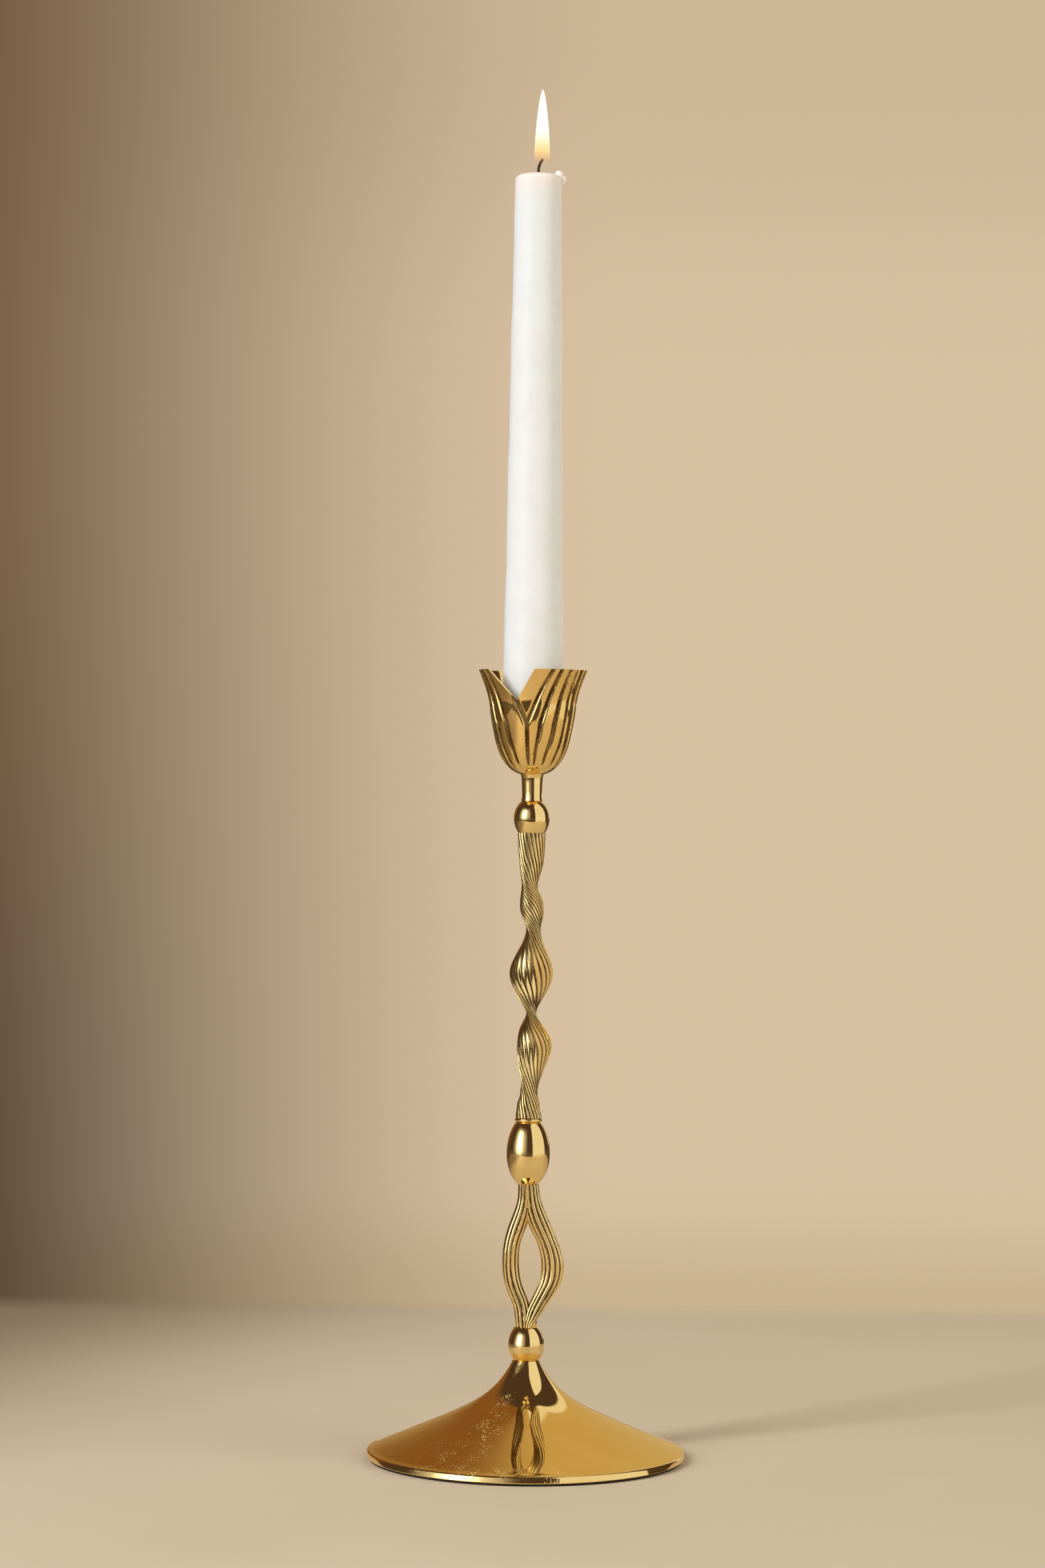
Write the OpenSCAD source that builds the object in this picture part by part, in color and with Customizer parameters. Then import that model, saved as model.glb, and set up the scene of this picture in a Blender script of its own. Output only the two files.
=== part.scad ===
// Brass candlestick: a hollow conical base, a ball knop, an open loop of two reeded strands,
// an egg knop, a twisted reeded stem and a tulip cup of two petals with a taper candle in it.
// The sections stack on the Z axis. A screw from below draws the base, the ball knop and the
// loop together, a stud joins the loop to the twisted stem through the egg knop, and a long
// screw from inside the cup draws the cup, the neck and the upper knop onto the stem.
// The origin is the middle of the felt's underside, +Z is up and lengths are millimetres.

/* [Base] */
// Radius of the base
base_r = 59.75; // [50:0.25:80]
// Height from the table to the top of the base
base_h = 37; // [30:0.5:48]
// Radius of the base's neck, under the ball knop
base_neck_r = 4.9; // [4.5:0.1:6]
// Height of the flare between the cone and the neck
flare_h = 11; // [8:0.5:15]
// Length over which the flare dies away
flare_len = 6.6; // [4:0.1:9]
// Height of the upright rim band
rim_h = 1.6; // [1:0.1:3]
// Size of the rounded edge above the rim band
rim_round = 1; // [0.5:0.1:2]
// Thickness of the cast shell, measured upright
shell_t = 2.6; // [2:0.1:3.5]
// Thickness of the boss that the base screw passes through
boss_t = 11; // [8:0.5:14]
// Thickness of the felt
felt_h = 1; // [0.8:0.1:2]
// How far the felt stays inside the rim
felt_inset = 1.2; // [0.5:0.1:4]

/* [Knops] */
// Height of the ball knop on the base
lower_knop_h = 12.5; // [10:0.5:18]
// Greatest radius of the ball knop
lower_knop_r = 6.8; // [5.5:0.1:10]
// Height of the egg knop
egg_h = 23.5; // [18:0.5:32]
// Greatest radius of the egg knop
egg_r = 8.1; // [6:0.1:12]
// Height of the collar ring on the egg knop
collar_h = 1.5; // [1:0.1:3]
// Radius of the collar ring
collar_r = 5.15; // [4.6:0.05:7]
// Height of the ball knop under the cup
upper_knop_h = 12; // [10:0.5:18]
// Greatest radius of the ball knop under the cup
upper_knop_r = 6.7; // [5.5:0.1:10]

/* [Loop] */
// Height of the open loop
loop_h = 53.25; // [40:0.25:70]
// Width of the left strand
left_strand_w = 5.8; // [4.5:0.1:8]
// Width of the right strand
right_strand_w = 8.9; // [6:0.1:11]
// Distance of the left strand's middle from the axis, where it bows out most
left_reach = 6.65; // [5.5:0.05:9]
// Distance of the right strand's middle from the axis, where it bows out most
right_reach = 9.35; // [8:0.05:12]
// Depth of both strands from front to back
strand_d = 5.8; // [4.5:0.1:8]
// Width of both strands where they meet the knops
strand_end_w = 5.3; // [4:0.1:6.5]
// Radius of the loop where it meets the knops
loop_end_r = 3.9; // [3.4:0.1:5]
// Depth of the grooves between the reeds
strand_groove = 0.35; // [0.1:0.05:0.6]

/* [Twisted stem] */
// Height of the twisted stem
twist_h = 106.75; // [80:0.25:140]
// Width of the twisted ribbon where it is widest
twist_w = 16.3; // [13:0.1:22]
// Thickness of the ribbon where it is thinnest
twist_t = 4.6; // [4.4:0.1:6]
// Number of reeds around the ribbon
twist_reeds = 20; // [12:2:24]
// Depth of the grooves between the reeds
twist_groove = 0.4; // [0.1:0.05:0.6]

/* [Cup] */
// Height of the cup
cup_h = 39; // [34:0.5:52]
// Height of the solid floor of the cup
cup_floor_h = 13.5; // [10:0.5:16]
// Thickness of the petals
cup_wall = 1.6; // [1.2:0.1:2.5]
// How much wider the cup is at its belly than at its floor
belly_out = 2.05; // [1:0.05:4]
// How far the rim flares out past the belly
rim_out = 4.15; // [2:0.05:8]
// Width of each notch between the petals, at the rim
notch_w = 19.7; // [12:0.1:24]
// Depth of each notch
notch_d = 11.75; // [8:0.25:14]
// How far the bottom of a notch lies to the right of its middle
notch_skew = 1.6; // [0:0.1:3]
// Direction of the first notch, in degrees round from the front
notch_turn = -27.5; // [-45:0.5:45]
// Height of the neck under the cup
neck_h = 10; // [6:0.5:16]
// Radius of the neck at the cup
neck_top_r = 4.3; // [4:0.1:6]
// Radius of the neck at the knop
neck_bottom_r = 3.65; // [3.4:0.05:5]

/* [Candle] */
// Radius of the candle in its socket
candle_r = 11.35; // [9.5:0.05:14]
// Radius of the candle at its top
candle_top_r = 8.75; // [7:0.05:11]
// Length of the candle without its wick
candle_len = 208.75; // [100:0.25:300]
// Length of the straight foot of the candle
candle_foot = 23; // [15:0.5:40]
// Height of the socket that holds the candle
socket_h = 13; // [9:0.5:13.5]
// Thickness of the socket's wall
socket_wall = 0.9; // [0.8:0.1:2]
// Thickness of the socket's floor
socket_floor = 2.5; // [2:0.1:4]
// Radius of the wick
wick_r = 0.55; // [0.4:0.05:1]

/* [Fasteners] */
// Radius of the base screw
base_screw_r = 2.5; // [2:0.1:3]
// Radius of the stud through the egg knop
stud_r = 2; // [1.5:0.1:2.2]
// Radius of the cup screw
cup_screw_r = 2; // [1.5:0.1:2.2]
// How deep the screws and the stud reach into a tapped hole
thread_len = 6.5; // [5:0.5:8]

/* [Hidden] */
$fn = 64;

// Clearances: round a shank in a through hole, in a tapped hole, of the socket in the cup,
// and of the candle in its socket
hole_clear = 0.15;
thread_clear = 0.05;
socket_clear = 0.1;
candle_clear = 0.25;

// Levels where one section ends and the next begins
knop_z = base_h;
loop_z = knop_z + lower_knop_h;
egg_z = loop_z + loop_h;
collar_z = egg_z + egg_h;
twist_z = collar_z + collar_h;
upper_knop_z = twist_z + twist_h;
neck_z = upper_knop_z + upper_knop_h;
cup_z = neck_z + neck_h;
rim_z = cup_z + cup_h;
socket_z = cup_z + cup_floor_h;
candle_z = socket_z + socket_floor;

// The base's upper surface: a cone from the rim, and a flare that dies away from the neck
edge_r = base_r - rim_round;
edge_z = felt_h + rim_h + rim_round;
cone_rise = base_h - edge_z - flare_h;
ceiling_z = base_h - boss_t;
hollow_r = base_r - 4;
washer_t = 1.2;
washer_r = base_screw_r + 4;
lock_washer_t = 1.6;
lock_washer_r = base_screw_r + 2;
screw_head_h = 3.6;
screw_head_r = base_screw_r + 2;

// The cup's radii follow the candle that it holds
bore_r = candle_r + candle_clear;
socket_r = bore_r + socket_wall;
bowl_r = socket_r + socket_clear + cup_wall;
belly_r = bowl_r + belly_out;
rim_r = belly_r + rim_out;
belly_z = cup_floor_h + (cup_h - cup_floor_h) * 0.47;
sunk_h = 2;

// The twisted ribbon from its foot to its top: share of the height, share of the greatest
// width, thickness as a share of the thinnest, turn in degrees and sideways shift
twist_stations = [
    [0, 0.67, 2, 305, 0],
    [0.04, 0.63, 1.8, 290, -0.2],
    [0.087, 0.6, 1.41, 268, 0],
    [0.15, 0.72, 1.1, 232, 0.8],
    [0.25, 0.8, 0.9, 180, 1.9],
    [0.365, 0.88, 0.82, 90, 0.6],
    [0.506, 1, 0.95, 0, 0.45],
    [0.67, 0.7, 1.2, -90, 1.1],
    [0.752, 0.54, 1.25, -180, 0.3],
    [0.81, 0.54, 1.3, -270, -0.5],
    [0.9, 0.61, 1.7, -325, 0.1],
    [1, 0.64, 1.95, -360, 0.1]
];
twist_rings = 84;
strand_rings = 44;

function mix(a, b, share) = a + (b - a) * share;
function clamped(x) = min(1, max(0, x));
function step(x) = let (s = clamped(x)) s * s * (3 - 2 * s);

// A value of column c in a table whose first column rises, eased between its rows
function eased(table, c, t, i = 0) =
    t <= table[i + 1][0] || i == len(table) - 2
    ? mix(table[i][c], table[i + 1][c],
          step((t - table[i][0]) / (table[i + 1][0] - table[i][0])))
    : eased(table, c, t, i + 1);

function linear(table, c, t) = lookup(t, [for (row = table) [row[0], row[c]]]);

function bezier(a, b, c, d, steps = 8) = [
    for (i = [0:steps])
        let (t = i / steps, u = 1 - t)
        u * u * u * a + 3 * u * u * t * b + 3 * u * t * t * c + t * t * t * d
];

function reversed(list) = [for (i = [len(list) - 1:-1:0]) list[i]];

// Half an outline of a bead: two elliptic arcs that meet at the greatest radius
function bead(h, mid, bottom_r, mid_r, top_r, steps = 20) =
    let (low = mid / sqrt(1 - pow(bottom_r / mid_r, 2)),
         high = (h - mid) / sqrt(1 - pow(top_r / mid_r, 2)))
    [for (i = [0:steps])
        let (z = h * i / steps, reach = z < mid ? low : high)
        [mid_r * sqrt(1 - pow((z - mid) / reach, 2)), z]];

// One level ring of a reeded bar: an ellipse w wide and d deep, with a groove after each reed
function reeded_ring(w, d, reeds, groove, turn, centre) = [
    for (i = [0:2 * reeds - 1])
        let (a = 180 * i / reeds,
             cut = (i % 2) * groove,
             x = (w / 2 - cut) * cos(a),
             y = (d / 2 - cut) * sin(a))
        centre + [x * cos(turn) - y * sin(turn), x * sin(turn) + y * cos(turn), 0]
];

// A closed solid through level rings that all have the same number of points
module lofted(rings) {
    n = len(rings[0]);
    last = (len(rings) - 1) * n;
    points = [for (ring = rings) each ring];
    foot = [for (i = [0:n - 1]) i];
    head = [for (i = [n - 1:-1:0]) last + i];
    lower_halves = [
        for (k = [0:n:last - n], i = [0:n - 1]) [k + i, k + i + n, k + (i + 1) % n]
    ];
    upper_halves = [
        for (k = [0:n:last - n], i = [0:n - 1])
            [k + (i + 1) % n, k + i + n, k + (i + 1) % n + n]
    ];
    polyhedron(points, concat([foot, head], lower_halves, upper_halves));
}

module turned(outline) {
    rotate_extrude() polygon(outline);
}

module hole(r, from, to) {
    translate([0, 0, from - 0.01]) cylinder(r = r, h = to - from + 0.02);
}

module ring(r, hole_r, h) {
    difference() {
        cylinder(r = r, h = h);
        hole(hole_r, 0, h);
    }
}

// Bead with a through hole
module bored_bead(outline, h, hole_r) {
    difference() {
        turned(concat([[0, 0]], outline, [[0, h]]));
        hole(hole_r, 0, h);
    }
}

// ---- Base ----

function base_top_z(r) =
    edge_z + cone_rise * (edge_r - r) / (edge_r - base_neck_r)
    + flare_h * exp(-(r - base_neck_r) / flare_len);

module base_shell() {
    steps = 24;
    top = [
        for (i = [0:steps])
            let (r = base_neck_r + (edge_r - base_neck_r) * pow(i / steps, 2))
            [r, base_top_z(r)]
    ];
    edge = [
        for (a = [70:-20:10])
            [edge_r + rim_round * cos(a), edge_z - rim_round + rim_round * sin(a)]
    ];
    underside = [
        for (i = [steps:-1:1])
            let (r = base_neck_r + (hollow_r - base_neck_r) * pow(i / steps, 2))
            [r, min(ceiling_z, base_top_z(r) - shell_t)]
    ];
    color("goldenrod") difference() {
        turned(concat([[0, base_h]], top, edge, [[base_r, felt_h]], [[hollow_r, felt_h]],
                      underside, [[0, ceiling_z]]));
        hole(base_screw_r + hole_clear, ceiling_z, base_h);
    }
}

module base_felt() {
    color("dimgray") cylinder(r = base_r - felt_inset, h = felt_h);
}

module base_washer() {
    color("silver") translate([0, 0, ceiling_z - washer_t])
        ring(washer_r, base_screw_r + hole_clear, washer_t);
}

module lock_washer() {
    color("silver") translate([0, 0, ceiling_z - washer_t - lock_washer_t])
        ring(lock_washer_r, base_screw_r + hole_clear, lock_washer_t);
}

// Hexagon socket screw, its head under the washers and its end in the loop's foot
module base_screw() {
    head_top = ceiling_z - washer_t - lock_washer_t;
    socket_depth = screw_head_h * 0.6;
    color("silver") difference() {
        union() {
            translate([0, 0, head_top - screw_head_h])
                cylinder(r = screw_head_r, h = screw_head_h);
            translate([0, 0, head_top - 0.5])
                cylinder(r = base_screw_r, h = loop_z + thread_len - head_top);
        }
        translate([0, 0, head_top - screw_head_h - 0.01])
            cylinder(r = base_screw_r * 0.9, h = socket_depth, $fn = 6);
    }
}

// ---- Loop ----

module lower_knop() {
    outline = bead(lower_knop_h, lower_knop_h * 0.4, base_neck_r, lower_knop_r,
                   loop_end_r + 0.2);
    color("gold") translate([0, 0, knop_z])
        bored_bead(outline, lower_knop_h, base_screw_r + hole_clear);
}

module loop_foot() {
    foot_h = thread_len + 2;
    color("gold") translate([0, 0, loop_z]) difference() {
        turned([[0, 0], [loop_end_r, 0], [loop_end_r + 0.3, 4], [loop_end_r - 1, foot_h],
                [0, foot_h]]);
        hole(base_screw_r + thread_clear, 0, thread_len);
    }
}

// Turned end between the strands, with a point that fills the top of the opening
module loop_crown() {
    point_h = loop_h * 0.13;
    crown_h = thread_len + 2 + point_h;
    color("gold") translate([0, 0, egg_z - crown_h]) difference() {
        turned([[0, 0], [0.7, 0], [loop_end_r - 1.3, point_h], [loop_end_r - 1.1, crown_h],
                [0, crown_h]]);
        hole(stud_r + thread_clear, crown_h - thread_len, crown_h);
    }
}

// How far a strand has bowed out at share t of the loop's height
function bowed(t) = step((t - 0.06) / 0.38) * (1 - step((t - 0.46) / 0.46));

// The right strand crosses in front of the left one at the foot
function crossed(t) = 1 - step(t / 0.2);

function strand_w(t, full) =
    mix(strand_end_w, full, min(step((t + 0.06) / 0.26), step((1.03 - t) / 0.3)));

module strand(side, w, reach, reeds, shift, forward) {
    end_x = loop_end_r - strand_end_w / 2;
    rings = [
        for (i = [0:strand_rings])
            let (t = i / strand_rings,
                 x = side * mix(end_x, reach, bowed(t)) + shift * crossed(t))
            reeded_ring(strand_w(t, w), mix(strand_d, strand_d + 1, crossed(t)), reeds,
                        strand_groove, 0, [x, forward * crossed(t), loop_z + t * loop_h])
    ];
    color("gold") lofted(rings);
}

module loop_left_strand() {
    strand(-1, left_strand_w, left_reach, 10, -0.2, 0.6);
}

module loop_right_strand() {
    strand(1, right_strand_w, right_reach, 12, -0.9, -1);
}

// ---- Egg knop ----

module egg_knop() {
    outline = bead(egg_h, egg_h * 0.49, loop_end_r - 0.2, egg_r, collar_r - 0.6);
    color("gold") translate([0, 0, egg_z]) bored_bead(outline, egg_h, stud_r + hole_clear);
}

module egg_collar() {
    rounded = [
        for (a = [-80:20:80])
            [collar_r - collar_h / 2 + collar_h / 2 * cos(a), collar_h / 2 * (1 + sin(a))]
    ];
    outline = concat([[collar_r - collar_h / 2, 0]], rounded,
                     [[collar_r - collar_h / 2, collar_h]]);
    color("gold") translate([0, 0, collar_z])
        bored_bead(outline, collar_h, stud_r + hole_clear);
}

module egg_stud() {
    color("silver") translate([0, 0, egg_z - thread_len + 0.5])
        cylinder(r = stud_r, h = egg_h + collar_h + 2 * thread_len - 1);
}

// ---- Twisted stem ----

module twist_stem() {
    rings = [
        for (i = [0:twist_rings])
            let (t = i / twist_rings)
            reeded_ring(twist_w * eased(twist_stations, 1, t),
                        twist_t * eased(twist_stations, 2, t),
                        twist_reeds, twist_groove, linear(twist_stations, 3, t),
                        [eased(twist_stations, 4, t), 0, twist_z + t * twist_h])
    ];
    color("gold") difference() {
        lofted(rings);
        hole(stud_r + thread_clear, twist_z, twist_z + thread_len);
        hole(cup_screw_r + thread_clear, upper_knop_z - thread_len, upper_knop_z);
    }
}

// ---- Cup ----

module upper_knop() {
    outline = bead(upper_knop_h, upper_knop_h * 0.46, collar_r - 0.25, upper_knop_r,
                   neck_bottom_r);
    color("gold") translate([0, 0, upper_knop_z])
        bored_bead(outline, upper_knop_h, cup_screw_r + hole_clear);
}

module neck_sleeve() {
    color("gold") translate([0, 0, neck_z]) difference() {
        cylinder(r1 = neck_bottom_r, r2 = neck_top_r, h = neck_h);
        hole(cup_screw_r + hole_clear, 0, neck_h);
    }
}

module notch() {
    rotate([90, 0, 0]) linear_extrude(height = 2 * rim_r)
        polygon([[notch_skew, cup_h - notch_d], [notch_w / 2, cup_h],
                 [notch_w / 2, cup_h + 1], [-notch_w / 2, cup_h + 1],
                 [-notch_w / 2, cup_h]]);
}

module tulip_cup() {
    bowl = bezier([neck_top_r, 0], [mix(neck_top_r, bowl_r, 0.5), cup_floor_h * 0.08],
                  [mix(neck_top_r, bowl_r, 0.86), cup_floor_h * 0.48],
                  [bowl_r, cup_floor_h], 10);
    belly = bezier([bowl_r, cup_floor_h], [mix(bowl_r, belly_r, 0.4), mix(cup_floor_h, belly_z, 0.33)],
                   [mix(bowl_r, belly_r, 0.78), mix(cup_floor_h, belly_z, 0.62)],
                   [belly_r, belly_z], 6);
    flare = bezier([belly_r, belly_z], [mix(belly_r, rim_r, 0.11), mix(belly_z, cup_h, 0.33)],
                   [mix(belly_r, rim_r, 0.5), mix(belly_z, cup_h, 0.63)],
                   [rim_r, cup_h], 8);
    wall = concat([for (i = [0:5]) belly[i]], flare);
    inside = [for (p = reversed(wall)) [p[0] - cup_wall, p[1]]];
    color("gold") translate([0, 0, cup_z]) difference() {
        turned(concat([[0, 0]], [for (i = [0:9]) bowl[i]], wall, inside, [[0, cup_floor_h]]));
        hole(cup_screw_r + hole_clear, 0, cup_floor_h);
        for (side = [0, 180]) rotate([0, 0, notch_turn + side]) notch();
    }
}

// Lining cup that the candle stands in
module candle_socket() {
    color("gold") translate([0, 0, socket_z]) difference() {
        cylinder(r = socket_r, h = socket_h);
        hole(cup_screw_r + hole_clear, 0, socket_floor);
        translate([0, 0, socket_floor]) cylinder(r = bore_r, h = socket_h);
        translate([0, 0, socket_floor - sunk_h])
            cylinder(r1 = cup_screw_r + hole_clear, r2 = cup_screw_r + hole_clear + sunk_h,
                     h = sunk_h + 0.01);
    }
}

// Countersunk screw, flush with the socket's floor, its end in the twisted stem
module cup_screw() {
    slot_w = 0.9;
    shank_z = upper_knop_z - thread_len + 0.5;
    color("silver") difference() {
        union() {
            translate([0, 0, shank_z]) cylinder(r = cup_screw_r, h = candle_z - 1 - shank_z);
            translate([0, 0, candle_z - sunk_h])
                cylinder(r1 = cup_screw_r, r2 = cup_screw_r + sunk_h, h = sunk_h);
        }
        translate([-2 * cup_screw_r, -slot_w / 2, candle_z - 0.8])
            cube([4 * cup_screw_r, slot_w, 1]);
    }
}

// ---- Candle ----

// Tapered candle with a shallow melted pool at its top and a set drip on its right
module candle_wax() {
    top_round = 2.4;
    pool_r = 6;
    pool_d = 1;
    drip_r = 2.2;
    rounded = [
        for (a = [0:15:90])
            [candle_top_r - top_round + top_round * cos(a),
             candle_len - top_round + top_round * sin(a)]
    ];
    color("ivory") translate([0, 0, candle_z]) difference() {
        union() {
            turned(concat([[0, 0], [candle_r - 1, 0], [candle_r, 1], [candle_r, candle_foot]],
                          rounded, [[pool_r, candle_len - 0.1], [0, candle_len - pool_d]]));
            translate([candle_top_r - 0.4, 0, candle_len - 1.2]) sphere(r = drip_r);
        }
        hole(wick_r, candle_len - 20, candle_len);
    }
}

module candle_wick() {
    bend_r = 7;
    bend = 40;
    straight = 21.5;
    color("black") translate([0, 0, candle_z + candle_len - 20]) union() {
        cylinder(r = wick_r, h = straight, $fn = 24);
        translate([bend_r, 0, straight]) mirror([1, 0, 0]) rotate([90, 0, 0])
            rotate_extrude(angle = bend, $fn = 24) translate([bend_r, 0]) circle(r = wick_r);
    }
}

base_shell();
base_felt();
base_washer();
lock_washer();
base_screw();
lower_knop();
loop_foot();
loop_left_strand();
loop_right_strand();
loop_crown();
egg_knop();
egg_collar();
egg_stud();
twist_stem();
upper_knop();
neck_sleeve();
tulip_cup();
candle_socket();
cup_screw();
candle_wax();
candle_wick();
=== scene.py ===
"""Brass candlestick with a burning taper candle, built round its CAD frame."""
import math

import bpy
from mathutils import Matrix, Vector


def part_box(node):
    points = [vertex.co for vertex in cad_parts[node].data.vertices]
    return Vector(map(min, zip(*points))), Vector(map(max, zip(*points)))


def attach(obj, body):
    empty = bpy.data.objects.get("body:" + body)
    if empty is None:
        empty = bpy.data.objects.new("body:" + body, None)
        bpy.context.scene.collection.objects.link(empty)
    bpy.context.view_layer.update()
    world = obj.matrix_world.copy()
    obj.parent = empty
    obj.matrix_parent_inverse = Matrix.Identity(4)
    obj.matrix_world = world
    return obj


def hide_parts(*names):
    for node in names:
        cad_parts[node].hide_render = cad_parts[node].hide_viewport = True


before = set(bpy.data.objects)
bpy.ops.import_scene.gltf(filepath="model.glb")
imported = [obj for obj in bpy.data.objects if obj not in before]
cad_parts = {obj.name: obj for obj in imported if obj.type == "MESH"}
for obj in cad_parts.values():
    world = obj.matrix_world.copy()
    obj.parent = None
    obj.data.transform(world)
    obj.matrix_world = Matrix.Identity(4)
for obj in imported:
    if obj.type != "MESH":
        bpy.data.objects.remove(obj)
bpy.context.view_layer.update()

MM = 0.001


# ---------------------------------------------------------------- modelling by hand


def deselect():
    if bpy.context.object and bpy.context.object.mode != "OBJECT":
        bpy.ops.object.mode_set(mode="OBJECT")
    bpy.ops.object.select_all(action="DESELECT")


def start_ring(name, sides, centre, radius):
    """A level circle in edit mode, all of it selected."""
    deselect()
    bpy.ops.mesh.primitive_circle_add(vertices=sides, radius=radius, location=centre)
    piece = bpy.context.object
    piece.name = piece.data.name = name
    bpy.ops.object.transform_apply(location=True, rotation=True, scale=True)
    return piece


def resize(x, y, centre):
    bpy.ops.transform.resize(value=(x, y, 1), center_override=centre)


def turn(angle, centre):
    """Turns the selection by angle about an upright line, anticlockwise from above."""
    if abs(angle) > 1e-9:
        bpy.ops.transform.rotate(value=-angle, orient_axis="Z", center_override=centre)


def extrude_to(step):
    bpy.ops.mesh.extrude_region_move(TRANSFORM_OT_translate={"value": step})


def finish_mesh(angle=35):
    """Merges the active piece's doubles, turns its faces outwards and smooths all but sharp
    edges."""
    bpy.ops.object.mode_set(mode="EDIT")
    bpy.ops.mesh.select_all(action="SELECT")
    bpy.ops.mesh.remove_doubles(threshold=1e-6)
    bpy.ops.mesh.normals_make_consistent(inside=False)
    bpy.ops.object.mode_set(mode="OBJECT")
    bpy.ops.object.shade_smooth_by_angle(angle=math.radians(angle))


def apply_modifier(piece, kind, **settings):
    modifier = piece.modifiers.new(kind.title(), kind)
    for key, value in settings.items():
        setattr(modifier, key, value)
    bpy.context.view_layer.objects.active = piece
    bpy.ops.object.modifier_apply(modifier=modifier.name)


def turned(name, outline, sides=128, bored=False):
    """A lathe part: a circle extruded from ring to ring along the outline of (r, z) points.
    A bored part's last ring is bridged to its first, and a solid one's ends are filled."""
    r, z = outline[0]
    piece = start_ring(name, sides, (0, 0, z), r)
    bpy.ops.object.mode_set(mode="EDIT")
    bpy.ops.mesh.select_all(action="SELECT")
    for r_next, z_next in outline[1:]:
        extrude_to((0, 0, z_next - z))
        resize(r_next / r, r_next / r, (0, 0, z_next))
        r, z = r_next, z_next
    close_ends(bored)
    finish_mesh()
    return piece


def close_ends(bored=False):
    """Bridges a bored part's two open ends to each other, or fills both."""
    bpy.ops.mesh.select_all(action="DESELECT")
    bpy.ops.mesh.select_mode(type="EDGE")
    bpy.ops.mesh.select_non_manifold(extend=False)
    if bored:
        bpy.ops.mesh.bridge_edge_loops()
    else:
        bpy.ops.mesh.fill_holes(sides=0)
    bpy.ops.mesh.select_mode(type="VERT")


REED_HALF = 0.46  # from a crest to the bottom of its groove, as a share of the reed's pitch
REED_POWER = 2.4


def crest(phase):
    """Groove depth, 0 to 1, at a phase of 0 to 1 from one reed's crest to the next."""
    away = min(phase, 1 - phase)
    return min(1, away / REED_HALF) ** REED_POWER


def reeded(name, reeds, groove, sections, per_reed=8):
    """A reeded bar. Each section is (centre, width, depth, turn). The first ring's reeds are
    drawn on a unit circle, and every later ring is extruded from the one before it."""
    sides = reeds * per_reed
    piece = start_ring(name, sides, (0, 0, 0), 1)
    depths = piece.data.attributes.new("groove", "FLOAT", "POINT")
    for i, v in enumerate(piece.data.vertices):
        phase = (math.atan2(v.co.y, v.co.x) / (2 * math.pi) * reeds) % 1
        depths.data[i].value = crest(phase)
    centre, width, depth, angle = sections[0]
    middle = (width + depth) / 4
    for v, d in zip(piece.data.vertices, depths.data):
        v.co *= 1 - d.value * groove / middle
    bpy.ops.object.mode_set(mode="EDIT")
    bpy.ops.mesh.select_all(action="SELECT")
    resize(width / 2, depth / 2, (0, 0, 0))
    turn(angle, (0, 0, 0))
    bpy.ops.transform.translate(value=centre)
    for centre_next, width_next, depth_next, angle_next in sections[1:]:
        extrude_to(Vector(centre_next) - Vector(centre))
        turn(-angle, centre_next)
        resize(width_next / width, depth_next / depth, centre_next)
        turn(angle_next, centre_next)
        centre, width, depth, angle = centre_next, width_next, depth_next, angle_next
    close_ends()
    finish_mesh(60)
    return piece


def mix(a, b, share):
    return a + (b - a) * share


def step(x):
    x = min(1, max(0, x))
    return x * x * (3 - 2 * x)


def eased(rows, t, linear=False):
    """The value at t of (t, value) rows, eased or straight between them."""
    for (t0, a), (t1, b) in zip(rows, rows[1:]):
        if t <= t1:
            share = (t - t0) / (t1 - t0)
            return mix(a, b, share if linear else step(share))
    return rows[-1][1]


# ---------------------------------------------------------------- materials


class Signal:
    """A shader socket that Python's operators work on."""

    def __init__(self, paint, socket):
        self.paint = paint
        self.socket = socket

    def maths(self, operation, a, b):
        node = self.paint.node("ShaderNodeMath", {"operation": operation}, {0: a, 1: b})
        return Signal(self.paint, node.outputs[0])

    def __add__(self, other):
        return self.maths("ADD", self, other)

    def __sub__(self, other):
        return self.maths("SUBTRACT", self, other)

    def __rsub__(self, other):
        return self.maths("SUBTRACT", other, self)

    def __mul__(self, other):
        return self.maths("MULTIPLY", self, other)

    def __pow__(self, other):
        return self.maths("POWER", self, other)

    __radd__ = __add__
    __rmul__ = __mul__


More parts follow.
